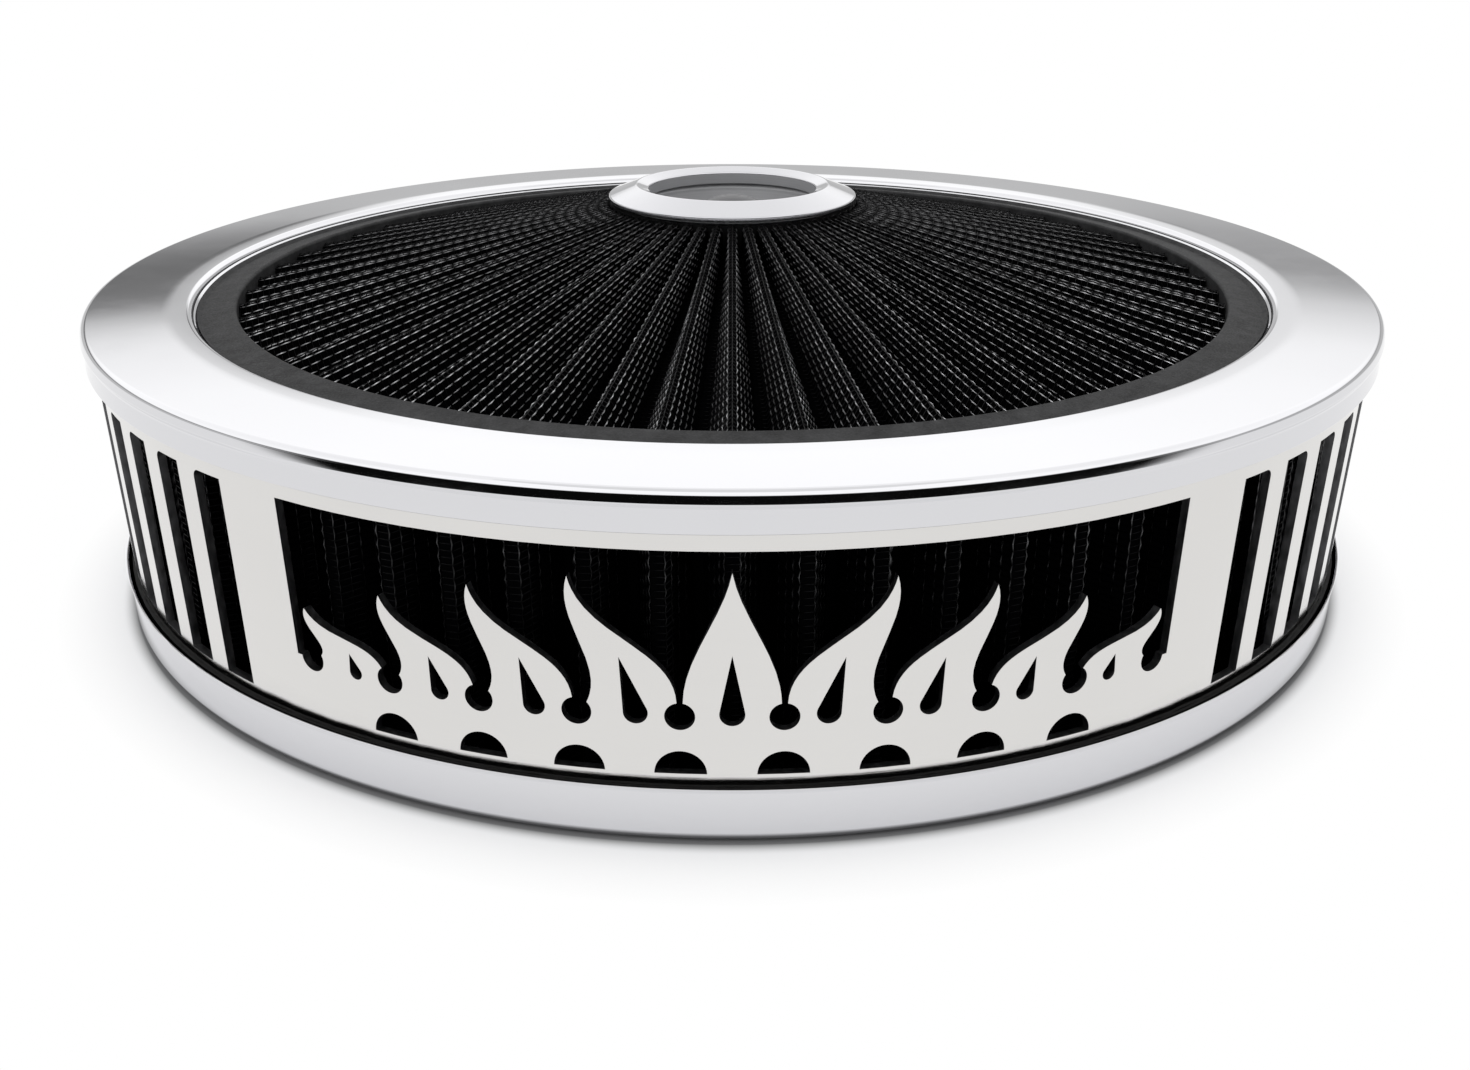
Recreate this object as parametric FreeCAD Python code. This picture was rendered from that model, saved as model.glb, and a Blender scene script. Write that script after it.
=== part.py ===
import FreeCAD, Part
import math
import os

from FreeCAD import Vector

Z_AXIS = Vector(0, 0, 1)
ORIGIN = Vector(0, 0, 0)

# The lid's widest radius sets every other radius of the pan, element, band and lid
lid_radius = 177.8

# Pressed steel of the pan and the lid rim
sheet = 1.0

# Base pan: a drop base whose middle is raised round the carburettor neck
pan_height = 13.5
pan_lip_inset = 1.2
pan_wall_taper = 1.4
pan_foot_bend = 3.0
pan_raised_width = 52.7
drop_height = 22.0
riser_run = 9.0
riser_bend = 5.0
neck_radius = 65.3
neck_depth = 8.5
neck_bend = 2.2

# Neck gasket, slipped over the turned-down neck
gasket_thickness = 3.0
gasket_width = 9.0
gasket_clearance = 0.3

# Filter element: pleats potted in two moulded end seals
element_height = 76.2
element_inset = 7.8
element_width = 17.5
seal_height = 8.0
seal_bead_height = 0.5
seal_bead_width = 3.0
seal_edge_round = 1.2
element_pleats_count = 72
element_pleat_margin = 1.5
element_crest_width = 2.6
media_thickness = 1.6
element_root_width = 2.0

# Lid rim: one stamping from the skirt to the ledge that carries the filter top
skirt_length = 9.0
skirt_edge_inset = 0.3
skirt_groove_inset = 0.85
skirt_groove_drop = 4.3
skirt_bend = 1.6
bead_drop = 2.9
bead_bend = 0.5
lid_fold_inset = 0.5
lid_fold_radius = 1.6
lid_flat_width = 27.8
lid_roll_radius = 2.0
lid_wall_depth = 5.2
ledge_width = 6.5
ledge_bend = 1.2

# Moulded outer ring of the filter top
ring_height = 3.9
ring_top_fall = 1.5
ring_wall = 1.35
ring_depth = 15.0
ring_side_gap = 0.8
ring_ledge_gap = 0.15
ring_edge_round = 0.9

# Radial pleats of the filter top; crest and root are shares of the pitch at the hub
lid_pleats_count = 56
pleat_end_gap = 0.1
lid_crest_share = 0.7
lid_root_share = 0.2
lid_crest_rise = 0.9
lid_crest_outer_drop = 2.4
lid_pleat_depth_outer = 10.0
lid_pleat_depth_inner = 5.0
lid_outer_root_width = 2.2
media_drop = 2.0
screen_drop = 0.7
screen_gap = 0.05

# Hub: a moulded seal, a spun cup with a flange, and a bright bezel over the flange
hub_height_over_lid = 19.0
hub_seal_height = 11.0
hub_seal_inset = 0.3
lid_crest_inner_drop = 0.2
cup_inner_radius = 25.1
cup_floor_bend = 3.0
cup_depth = 21.5
cup_flange_width = 7.4
cup_bend = 1.6
cup_clearance = 0.2
bezel_overhang = 2.8
bezel_crest_run = 3.5
bezel_rise = 4.3
bezel_edge = 1.3
bezel_edge_bend = 0.7
bezel_crest_bend = 1.7
bezel_mouth_bend = 0.6
bezel_collar = 3.4

# Pressed spider under the pleats, from the hub seal to the ledge
spider_sheet = 1.5
spider_arms = 6
spider_arm_width = 9.0
spider_clearance = 1.6
spider_bend = 3.0
spider_foot = 3.4

# Stud, nut and washers (1/4-20 thread)
stud_radius = 3.175
stud_shank_radius = 2.8
stud_thread_clearance = 0.05
stud_hole_clearance = 0.4
stud_lower_thread = 20.0
stud_upper_thread = 26.0
stud_chamfer = 0.6
stud_over_drop = 3.0
stud_in_nut = 13.0
seal_washer_radius = 11.0
seal_washer_thickness = 1.5
washer_radius = 9.0
washer_thickness = 1.2
nut_radius = 10.0
nut_height = 19.6
nut_dome = 3.2
nut_collar_height = 2.4
nut_flutes = 10
nut_flute_radius = 2.6
nut_flute_bite = 0.9
nut_bore_depth = 14.5

# Decorative band that stands in the pan
band_thickness = 2.0
band_skirt_clearance = 0.5
band_under_lid = 6.0
strip_thickness = 0.75
strip_fit = 0.05
strip_lip_drop = 0.7

# Cut-outs of the band, between the pan's lip and the lid's skirt
window_foot_margin = 2.4
window_head_margin = 4.3
window_half_angle = 32.5
windows = 2
slot_count = 19
slot_first_angle = 38.4
slot_width_angle = 3.3
slot_corner = 2.0

# Flame licks of each window: widths are shares of their spacing
side_licks = 4
window_edge_share = 0.42
lick_width_share = 0.924
lick_lean_share = 0.524
lick_valley_share = 0.148
drop_radius_share = 0.124
drop_shift_share = 0.076
drop_lean_share = 0.152
arch_share = 0.257

# Heights inside the window are shares of its own height
centre_lick_share = 0.91
lick_step_share = 0.038
lick_fall_power = 1.7
lick_base_share = 0.27
drop_bottom_share = 0.23
drop_length_share = 0.32

# Sides of a leaning lick: shares of its width, its lean and its height
lick_back = ((-0.5, 0, 0), (-0.38, 0, 0.34), (0, 0.5, 0.7), (0, 1, 1))
lick_belly = ((0, 1, 1), (0.24, 0.5, 0.62), (0.37, 0, 0.28), (0.5, 0, 0))
centre_side = ((0.5, 0), (0.42, 0.36), (0.14, 0.74), (0, 1))

# How closely the faces of a sewn solid meet
sew_tolerance = 0.001

# Radii that follow from the lid's, the neck's and the cup's
pan_lip_radius = lid_radius - pan_lip_inset
pan_foot_radius = pan_lip_radius - pan_wall_taper
pan_floor_inner_radius = neck_radius + pan_raised_width
element_outer_radius = lid_radius - element_inset
element_inner_radius = element_outer_radius - element_width
skirt_edge_radius = lid_radius - skirt_edge_inset
skirt_groove_radius = lid_radius - skirt_groove_inset
lid_opening_radius = lid_radius - lid_flat_width
ledge_inner_radius = lid_opening_radius - ledge_width
ring_inner_radius = ledge_inner_radius - ring_ledge_gap - ring_wall
cup_flange_radius = cup_inner_radius + cup_flange_width
bezel_radius = cup_flange_radius + bezel_overhang
bezel_mouth_radius = cup_inner_radius - cup_clearance - sheet
bezel_crest_radius = bezel_mouth_radius + bezel_crest_run
hub_seal_radius = bezel_radius - hub_seal_inset
hub_pleat_pitch = 2 * math.pi * hub_seal_radius / lid_pleats_count
lid_crest_width = hub_pleat_pitch * lid_crest_share
lid_inner_root_width = hub_pleat_pitch * lid_root_share

# Heights that follow from the stack of pieces
stud_end_height = drop_height + stud_over_drop
element_bottom = sheet + seal_bead_height
element_top = element_bottom + element_height
lid_underside = element_top + seal_bead_height
lid_top = lid_underside + sheet
skirt_bottom = lid_top - skirt_length
ledge_top = lid_top - lid_wall_depth
ring_top = ledge_top + ring_height
pleat_outer_top = ring_top - lid_crest_outer_drop
hub_seal_top = lid_top + hub_height_over_lid
hub_seal_bottom = hub_seal_top - hub_seal_height
pleat_inner_top = hub_seal_top - lid_crest_inner_drop
flange_top = hub_seal_top + sheet
cup_floor_top = flange_top - cup_depth
washer_bottom = cup_floor_top + seal_washer_thickness
nut_bottom = washer_bottom + washer_thickness
ring_bottom = ring_top - ring_depth
window_bottom = pan_height + window_foot_margin
window_top = skirt_bottom - window_head_margin

# Band radii follow from the pan's wall below and the lid's skirt above
band_bottom = sheet + strip_thickness
band_top = skirt_bottom + band_under_lid - sheet
band_top_radius = skirt_groove_radius - sheet - band_skirt_clearance
pan_wall_slope = (pan_lip_radius - pan_foot_radius) / pan_height
band_bottom_radius = (
    pan_foot_radius + pan_wall_slope * band_bottom
    - sheet - strip_thickness - 2 * strip_fit
)
band_slope = (band_top_radius - band_bottom_radius) / (band_top - band_bottom)
slot_span = 360 / windows - 2 * slot_first_angle


def band_radius(z):
    """Outer radius of the band at a height."""
    return band_bottom_radius + band_slope * (z - band_bottom)


nominal_radius = band_radius((window_bottom + window_top) / 2)

# Window and licks in the band's developed plane
window_height = window_top - window_bottom
window_run = math.radians(window_half_angle) * nominal_radius
lick_spacing = 2 * window_run / (2 * side_licks + 1 + window_edge_share)
lick_width = lick_spacing * lick_width_share
lick_lean = lick_spacing * lick_lean_share
centre_lick_height = window_height * centre_lick_share
lick_base_height = window_height * lick_base_share


def pan_radius(z):
    """Outer radius of the pan's wall at a height."""
    return pan_foot_radius + pan_wall_slope * z


def at(r, z):
    """A point of a section, at a radius and a height."""
    return Vector(r, 0, z)


def bent_line(corners):
    """Straight runs joined by tangent arcs; each corner is (radius, height, bend)."""
    points = [at(r, z) for r, z, bend in corners]
    edges = []
    last = points[0]
    for i in range(1, len(points) - 1):
        bend = corners[i][2]
        back = (points[i - 1] - points[i]).normalize()
        ahead = (points[i + 1] - points[i]).normalize()
        half = back.getAngle(ahead) / 2
        reach = bend / math.tan(half)
        start = points[i] + back * reach
        end = points[i] + ahead * reach
        middle = (back + ahead).normalize()
        centre = points[i] + middle * (bend / math.sin(half))
        crown = centre - middle * bend
        edges.append(Part.makeLine(last, start))
        edges.append(Part.Arc(start, crown, end).toShape())
        last = end
    edges.append(Part.makeLine(last, points[-1]))
    return Part.Wire(edges)


def moved_corners(corners, thickness):
    """The other face of a sheet: each run of the line moved to its right."""
    points = [at(r, z) for r, z, bend in corners]
    runs = []
    for a, b in zip(points, points[1:]):
        along = (b - a).normalize()
        side = Vector(along.z, 0, -along.x) * thickness
        runs.append((a + side, along))
    moved = [runs[0][0]]
    for (a, u), (b, v) in zip(runs, runs[1:]):
        cross = u.x * v.z - u.z * v.x
        gap = b - a
        moved.append(a + u * ((gap.x * v.z - gap.z * v.x) / cross))
    last_side = runs[-1][0] - points[-2]
    moved.append(points[-1] + last_side)
    result = []
    for i, point in enumerate(moved):
        bend = corners[i][2]
        if 0 < i < len(moved) - 1:
            u = runs[i - 1][1]
            v = runs[i][1]
            turns_right = u.x * v.z - u.z * v.x < 0
            bend = bend - thickness if turns_right else bend + thickness
        result.append((point.x, point.z, bend))
    return result


def pressed(corners, thickness):
    """A round pressing: a sheet to the right of a bent line, turned about the axis."""
    one = bent_line(corners)
    other = bent_line(moved_corners(corners, thickness))
    first = Part.makeLine(one.OrderedVertexes[0].Point, other.OrderedVertexes[0].Point)
    last = Part.makeLine(one.OrderedVertexes[-1].Point, other.OrderedVertexes[-1].Point)
    edges = list(one.Edges) + list(other.Edges) + [first, last]
    outline = Part.Wire(Part.__sortEdges__(edges))
    return Part.Face(outline).revolve(ORIGIN, Z_AXIS, 360)


def ring(corners):
    """A turned or moulded ring from its closed section, with rounded corners."""
    start = (
        (corners[0][0] + corners[-1][0]) / 2,
        (corners[0][1] + corners[-1][1]) / 2,
        0,
    )
    bends = [corner if len(corner) == 3 else (*corner, 0) for corner in corners]
    points = [start] + bends + [start]
    edges = []
    last = at(start[0], start[1])
    for i in range(1, len(points) - 1):
        r, z, bend = points[i]
        corner = at(r, z)
        if bend == 0:
            edges.append(Part.makeLine(last, corner))
            last = corner
            continue
        back = (at(points[i - 1][0], points[i - 1][1]) - corner).normalize()
        ahead = (at(points[i + 1][0], points[i + 1][1]) - corner).normalize()
        half = back.getAngle(ahead) / 2
        reach = bend / math.tan(half)
        middle = (back + ahead).normalize()
        crown = corner + middle * (bend / math.sin(half) - bend)
        edges.append(Part.makeLine(last, corner + back * reach))
        edges.append(Part.Arc(corner + back * reach, crown, corner + ahead * reach).toShape())
        last = corner + ahead * reach
    edges.append(Part.makeLine(last, at(start[0], start[1])))
    return Part.Face(Part.Wire(edges)).revolve(ORIGIN, Z_AXIS, 360)


def tube(inner, outer, bottom, top):
    """A plain ring with square edges."""
    body = Part.makeCylinder(outer, top - bottom, Vector(0, 0, bottom))
    return body.cut(Part.makeCylinder(inner, top - bottom, Vector(0, 0, bottom)))


def turned(shape, degrees):
    """A copy turned about the axis."""
    copy = shape.copy()
    copy.rotate(ORIGIN, Z_AXIS, degrees)
    return copy


def base_pan():
    """Pressed pan: wall, floor, riser, raised flat and turned-down neck."""
    neck_outside = neck_radius + sheet
    return pressed([
        (pan_lip_radius, pan_height, 0),
        (pan_foot_radius, 0, pan_foot_bend),
        (pan_floor_inner_radius, 0, riser_bend),
        (pan_floor_inner_radius - riser_run, drop_height, riser_bend),
        (neck_outside, drop_height, neck_bend - sheet),
        (neck_outside, drop_height - neck_depth, 0),
    ], sheet)


def neck_gasket():
    """Flat ring under the raised flat, round the neck."""
    inner = neck_radius + sheet + gasket_clearance + neck_bend - sheet
    bottom = drop_height - gasket_thickness
    return tube(inner, inner + gasket_width, bottom, drop_height)


def end_seal(bottom, bead_side):
    """Moulded end ring of the element, with a sealing bead on its outer face."""
    top = bottom + seal_height
    body = ring([
        (element_inner_radius, bottom, seal_edge_round),
        (element_outer_radius, bottom, seal_edge_round),
        (element_outer_radius, top, seal_edge_round),
        (element_inner_radius, top, seal_edge_round),
    ])
    middle = (element_inner_radius + element_outer_radius) / 2
    inner = middle - seal_bead_width / 2
    outer = middle + seal_bead_width / 2
    if bead_side > 0:
        bead = tube(inner, outer, top, top + seal_bead_height)
    else:
        bead = tube(inner, outer, bottom - seal_bead_height, bottom)
    return body.fuse(bead).removeSplitter()


def zigzag(count, inner, outer, crest_width, root_width):
    """Closed outline of upright pleats with flat folds at both radii."""
    points = []
    crest_half = crest_width / outer / 2
    root_half = root_width / inner / 2
    step = 2 * math.pi / count
    for i in range(count):
        crest = i * step
        root = crest + step / 2
        for radius, angle in (
            (outer, crest - crest_half),
            (outer, crest + crest_half),
            (inner, root - root_half),
            (inner, root + root_half),
        ):
            points.append(Vector(radius * math.cos(angle), radius * math.sin(angle), 0))
    return Part.makePolygon(points + [points[0]])


def pleated_wall(inner, outer, thickness, crest_width, root_width):
    """Upright pleated layer; the inner line is the outer one moved in."""
    bottom = element_bottom + seal_height
    height = element_height - 2 * seal_height
    outside = zigzag(element_pleats_count, inner + thickness, outer, crest_width, root_width)
    inside = zigzag(
        element_pleats_count, inner, outer - thickness,
        crest_width - thickness, root_width + thickness,
    )
    face = Part.Face(outside).cut(Part.Face(inside))
    wall = face.extrude(Vector(0, 0, height))
    wall.translate(Vector(0, 0, bottom))
    return wall


def element_pleats():
    """Pleated filter media of the element."""
    return pleated_wall(
        element_inner_radius + element_pleat_margin,
        element_outer_radius - element_pleat_margin,
        media_thickness, element_crest_width, element_root_width,
    )


def pleat_section(distance, half_pitch, crest_z, depth, drop, root_width, thickness):
    """Section of one radial pleat in the plane at a distance from the axis."""
    crest_half = lid_crest_width / 2
    root = half_pitch - root_width / 2
    shoulder = crest_z - lid_crest_rise
    floor = crest_z - depth
    upper = []
    lower = []
    for z_move, edges in ((-drop, upper), (-drop - thickness, lower)):
        def spot(y, z):
            return Vector(distance, y, z + z_move)
        edges.append(Part.makeLine(spot(-half_pitch, floor), spot(-root, floor)))
        edges.append(Part.makeLine(spot(-root, floor), spot(-crest_half, shoulder)))
        crown = Part.Arc(
            spot(-crest_half, shoulder), spot(0, crest_z), spot(crest_half, shoulder)
        )
        edges.append(crown.toShape())
        edges.append(Part.makeLine(spot(crest_half, shoulder), spot(root, floor)))
        edges.append(Part.makeLine(spot(root, floor), spot(half_pitch, floor)))
    return upper, lower


def radial_pleats(drop, thickness):
    """Cone of radial pleats between the hub seal and the outer ring."""
    half_angle = math.pi / lid_pleats_count
    near = hub_seal_radius + pleat_end_gap
    far = (ring_inner_radius - pleat_end_gap) * math.cos(half_angle)
    inner = pleat_section(
        near, near * math.tan(half_angle), pleat_inner_top,
        lid_pleat_depth_inner, drop, lid_inner_root_width, thickness,
    )
    outer = pleat_section(
        far, far * math.tan(half_angle), pleat_outer_top,
        lid_pleat_depth_outer, drop, lid_outer_root_width, thickness,
    )
    faces = []
    for inner_edges, outer_edges in zip(inner, outer):
        for a, b in zip(inner_edges, outer_edges):
            faces.append(Part.makeRuledSurface(a, b))
    for upper, lower in (inner, outer):
        sides = [
            Part.makeLine(upper[end].Vertexes[end].Point, lower[end].Vertexes[end].Point)
            for end in (0, -1)
        ]
        faces.append(Part.Face(Part.Wire(Part.__sortEdges__(upper + lower + sides))))
    sector = Part.Compound(faces)
    step = 360 / lid_pleats_count
    every = []
    for i in range(lid_pleats_count):
        every.extend(turned(sector, i * step).Faces)
    shell = Part.Shell(every)
    shell.sewShape(sew_tolerance)
    solid = Part.Solid(shell)
    if solid.Volume < 0:
        solid.reverse()
    return solid


def lid_pleats():
    """Pleated filter media of the lid."""
    return radial_pleats(screen_drop + screen_gap, media_drop)


def lid_screen():
    """Wire screen over the lid's pleats, as one thin pleated layer."""
    return radial_pleats(0, screen_drop)


def lid_rim():
    """Stamped rim: skirt, bead, flat, rolled inner edge, wall and ledge."""
    return pressed([
        (ledge_inner_radius, ledge_top, 0),
        (lid_opening_radius, ledge_top, ledge_bend),
        (lid_opening_radius, lid_top, lid_roll_radius),
        (lid_radius - lid_fold_inset, lid_top, lid_fold_radius),
        (lid_radius, lid_top - bead_drop, bead_bend),
        (skirt_groove_radius, lid_top - skirt_groove_drop, skirt_bend),
        (skirt_edge_radius, skirt_bottom, 0),
    ], sheet)


def lid_ring_seal():
    """Moulded ring round the filter top, seated on the ledge."""
    outer = lid_opening_radius - ring_side_gap
    wall_outside = ring_inner_radius + ring_wall
    return ring([
        (outer, ledge_top, ledge_bend),
        (outer, ring_top, ring_edge_round),
        (ring_inner_radius, ring_top - ring_top_fall, ring_edge_round),
        (ring_inner_radius, ring_bottom, 0),
        (wall_outside, ring_bottom, 0),
        (wall_outside, ledge_top, 0),
    ])


def hub_seal():
    """Moulded ring round the hub cup that holds the inner ends of the pleats."""
    inner = cup_inner_radius + sheet + cup_clearance
    return ring([
        (inner, hub_seal_bottom),
        (hub_seal_radius, hub_seal_bottom),
        (hub_seal_radius, hub_seal_top),
        (inner, hub_seal_top, cup_bend + cup_clearance),
    ])


def hub_cup():
    """Spun cup: flange, wall and floor with the stud's hole."""
    outside = cup_inner_radius + sheet
    underside = cup_floor_top - sheet
    return pressed([
        (cup_flange_radius, hub_seal_top, 0),
        (outside, hub_seal_top, cup_bend),
        (outside, underside, cup_floor_bend),
        (stud_radius + stud_hole_clearance, underside, 0),
    ], sheet)


def hub_bezel():
    """Bright dished ring over the cup's flange, with a collar inside the cup."""
    crest_z = flange_top + bezel_rise
    mouth_z = crest_z - bezel_edge
    return pressed([
        (bezel_mouth_radius, mouth_z - bezel_collar, 0),
        (bezel_mouth_radius, mouth_z, bezel_mouth_bend),
        (bezel_crest_radius, crest_z, bezel_crest_bend),
        (bezel_radius, flange_top + bezel_edge, bezel_edge_bend),
        (bezel_radius, hub_seal_top, 0),
    ], sheet)


def center_stud():
    """Stud with a thread at each end and a plain shank."""
    top = nut_bottom + stud_in_nut
    lower = stud_end_height + stud_lower_thread
    upper = top - stud_upper_thread
    return Part.Face(Part.makePolygon([
        at(0, stud_end_height),
        at(stud_radius - stud_chamfer, stud_end_height),
        at(stud_radius, stud_end_height + stud_chamfer),
        at(stud_radius, lower),
        at(stud_shank_radius, lower + stud_radius - stud_shank_radius),
        at(stud_shank_radius, upper - stud_radius + stud_shank_radius),
        at(stud_radius, upper),
        at(stud_radius, top - stud_chamfer),
        at(stud_radius - stud_chamfer, top),
        at(0, top),
        at(0, stud_end_height),
    ])).revolve(ORIGIN, Z_AXIS, 360)


def seal_washer():
    """Soft washer on the cup's floor."""
    inner = stud_radius + stud_thread_clearance
    return tube(inner, seal_washer_radius, cup_floor_top, washer_bottom)


def nut_washer():
    """Washer that stays on the nut."""
    inner = stud_radius + stud_thread_clearance
    return tube(inner, washer_radius, washer_bottom, nut_bottom)


def center_nut():
    """Fluted finger nut with a domed top and a blind thread."""
    top = nut_bottom + nut_height
    shoulder = top - nut_dome
    collar = nut_bottom + nut_collar_height
    dome_radius = (nut_radius ** 2 + nut_dome ** 2) / (2 * nut_dome)
    half_way = math.asin(nut_radius / dome_radius) / 2
    crown = Part.Arc(
        at(nut_radius, shoulder),
        at(dome_radius * math.sin(half_way), top - dome_radius * (1 - math.cos(half_way))),
        at(0, top),
    )
    sides = Part.makePolygon([
        at(0, top),
        at(0, nut_bottom),
        at(washer_radius - stud_chamfer, nut_bottom),
        at(washer_radius, nut_bottom + stud_chamfer),
        at(washer_radius, collar),
        at(nut_radius, collar + nut_radius - washer_radius),
        at(nut_radius, shoulder),
    ])
    body = Part.Face(Part.Wire(sides.Edges + [crown.toShape()])).revolve(ORIGIN, Z_AXIS, 360)
    bore = Part.makeCylinder(
        stud_radius + stud_thread_clearance, nut_bore_depth, Vector(0, 0, nut_bottom)
    )
    body = body.cut(bore)
    flutes = []
    for i in range(nut_flutes):
        centre = Vector(nut_radius + nut_flute_radius - nut_flute_bite, 0, collar)
        flute = Part.makeCylinder(nut_flute_radius, nut_height, centre)
        flutes.append(turned(flute, i * 360 / nut_flutes))
    return body.cut(Part.Compound(flutes))


def support_spider():
    """Pressed arms under the pleats, from the hub seal out to the ledge."""
    low = ring_bottom - spider_clearance
    knee = ring_inner_radius - 2 * spider_bend
    foot = ring_inner_radius + ring_wall + spider_clearance + spider_sheet
    ledge_underside = ledge_top - sheet
    whole = pressed([
        (cup_inner_radius + sheet + cup_clearance, hub_seal_bottom, 0),
        (hub_seal_radius, hub_seal_bottom, spider_bend),
        (knee, low, spider_bend),
        (foot, low, spider_bend),
        (foot, ledge_underside, spider_bend),
        (foot + spider_foot, ledge_underside, 0),
    ], spider_sheet)
    height = hub_seal_top
    start = Vector(0, -spider_arm_width / 2, 0)
    arms = []
    for i in range(spider_arms):
        arm = Part.makeBox(lid_radius, spider_arm_width, height, start)
        arms.append(turned(arm, i * 360 / spider_arms))
    star = Part.makeCylinder(hub_seal_radius, height).fuse(arms)
    return whole.common(star)


def band_strip():
    """Soft channel in which the band's lower edge stands, inside the pan's wall."""
    top = pan_height - strip_lip_drop
    inner_bottom = band_radius(sheet) - band_thickness - strip_fit
    inner_top = band_radius(top) - band_thickness - strip_fit
    wall_bottom = pan_radius(sheet) - sheet - strip_fit
    outside = band_radius(top) + strip_fit + strip_thickness
    round_start = sheet + pan_foot_bend
    return ring([
        (inner_bottom - strip_thickness, sheet, 0),
        (wall_bottom - pan_foot_bend, sheet, 0),
        (pan_radius(round_start) - sheet - strip_fit, round_start, 0),
        (outside, top, 0),
        (band_radius(top) + strip_fit, top, 0),
        (band_radius(band_bottom) + strip_fit, band_bottom, 0),
        (inner_bottom, band_bottom, 0),
        (inner_top, top - 2 * strip_thickness, 0),
        (inner_top - strip_thickness, top - 2 * strip_thickness, 0),
    ])


def flat_point(s, t):
    """A point of the band's developed surface: run from the middle, height."""
    return Vector(s, t, 0)


def curve_through(points):
    """A smooth edge through a few points."""
    curve = Part.BSplineCurve()
    curve.interpolate(points)
    return curve.toShape()


def lick(foot, height, lean):
    """One flame lick from its foot to its sharp tip; each side is a smooth curve."""
    def spot(width_share, lean_share, height_share):
        return flat_point(
            foot + width_share * lick_width + lean_share * lean,
            lick_base_height + height_share * (height - lick_base_height),
        )
    side = math.copysign(1, lean)
    back = [spot(side * w, l, h) for w, l, h in lick_back]
    belly = [spot(side * w, l, h) for w, l, h in lick_belly]
    edges = [curve_through(back), curve_through(belly), Part.makeLine(belly[-1], back[0])]
    return Part.Face(Part.Wire(edges))


def centre_lick():
    """The upright lick in the middle of the window."""
    def spot(width_share, height_share):
        return flat_point(
            width_share * lick_width,
            lick_base_height + height_share * (centre_lick_height - lick_base_height),
        )
    left = [spot(-w, h) for w, h in centre_side]
    right = [spot(w, h) for w, h in reversed(centre_side)]
    edges = [curve_through(left), curve_through(right), Part.makeLine(right[-1], left[0])]
    return Part.Face(Part.Wire(edges))


def teardrop(foot, bottom, length, radius, lean):
    """A drop-shaped hole with its round end down."""
    centre = flat_point(foot, bottom + radius)
    tip = flat_point(foot + lean, bottom + length)
    to_tip = tip - centre
    half = math.acos(radius / to_tip.Length)
    along = math.atan2(to_tip.y, to_tip.x)
    ends = [
        centre + Vector(math.cos(along + turn), math.sin(along + turn), 0) * radius
        for turn in (half, -half)
    ]
    below = centre - to_tip.normalize() * radius
    edges = [
        Part.Arc(ends[0], below, ends[1]).toShape(),
        Part.makeLine(ends[1], tip),
        Part.makeLine(tip, ends[0]),
    ]
    return Part.Face(Part.Wire(edges))


def disc(s, t, radius):
    """A flat disc in the developed plane."""
    return Part.Face(Part.Wire(Part.makeCircle(radius, flat_point(s, t))))


def flame_openings():
    """Flat faces of one window's openings: everything inside it that is not flame."""
    left = flat_point(-window_run, 0)
    base = Part.makePlane(2 * window_run, lick_base_height, left)
    drop_bottom = window_height * drop_bottom_share
    drop_length = window_height * drop_length_share
    drop_radius = lick_spacing * drop_radius_share
    licks = [centre_lick()]
    holes = [teardrop(0, drop_bottom, drop_length, drop_radius, 0)]
    valleys = []
    arches = []
    for side in (-1, 1):
        for i in range(1, side_licks + 1):
            foot = side * i * lick_spacing
            fall = window_height * lick_step_share * i ** lick_fall_power
            share = 1 - fall / (centre_lick_height - lick_base_height)
            licks.append(lick(foot, centre_lick_height - fall, side * lick_lean))
            holes.append(teardrop(
                foot - side * lick_spacing * drop_shift_share,
                drop_bottom, drop_length * share, drop_radius * math.sqrt(share),
                side * lick_spacing * drop_lean_share * share,
            ))
            between = foot - side * lick_spacing / 2
            arches.append(disc(between, 0, lick_spacing * arch_share))
        for i in range(side_licks + 1):
            between = side * (i + 0.5) * lick_spacing
            valleys.append(disc(between, lick_base_height, lick_spacing * lick_valley_share))
    flame = base.fuse(licks).cut(valleys + holes + arches)
    window = Part.makePlane(2 * window_run, window_height, left)
    return window.cut(flame).removeSplitter().Faces


def wound_line(edge, cone):
    """An edge of the developed plane, wound onto a cone on the side away from +X."""
    def place(point):
        return FreeCAD.Base.Vector2d(
            math.pi + point.x / nominal_radius,
            (point.y + band_bottom) / math.cos(cone.SemiAngle),
        )
    if isinstance(edge.Curve, Part.Line):
        ends = [place(vertex.Point) for vertex in edge.Vertexes]
        return Part.Geom2d.Line2dSegment(*ends).toShape(cone)
    curve = edge.Curve.toBSpline(*edge.ParameterRange)
    line = Part.Geom2d.BSplineCurve2d()
    line.buildFromPolesMultsKnots(
        [place(pole) for pole in curve.getPoles()], curve.getMultiplicities(),
        curve.getKnots(), False, curve.Degree, curve.getWeights(),
    )
    return line.toShape(cone)


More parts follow.
